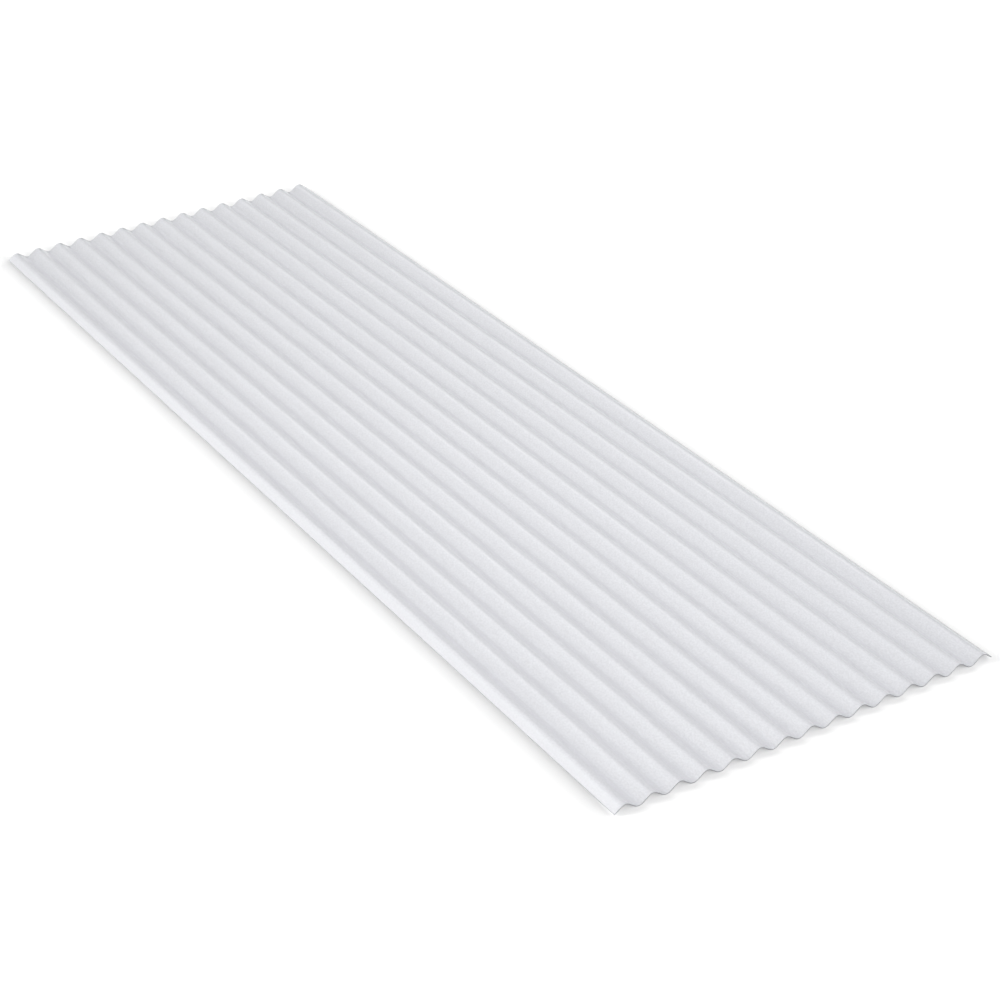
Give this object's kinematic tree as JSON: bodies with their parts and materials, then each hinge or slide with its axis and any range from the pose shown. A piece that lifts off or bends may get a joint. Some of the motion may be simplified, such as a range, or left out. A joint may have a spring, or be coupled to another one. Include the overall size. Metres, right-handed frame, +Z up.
{
  "type": "corrugated pvc roofing sheet",
  "caption": "Long corrugated PVC roofing sheet with small round waves along its length, both side edges turned down.",
  "frame": {"origin": "middle of the sheet's length and width, at the height of the trough undersides, which lie on the floor", "axes": "+Y along the waves, +X across them, +Z up from the floor"},
  "size_m": [0.93, 3, 0.018],
  "materials": {
    "pvc": "satin, opaque white with a faint cool tint"
  },
  "bodies": {
    "root": {"roofing_sheet": "pvc"}
  },
  "joints": []
}
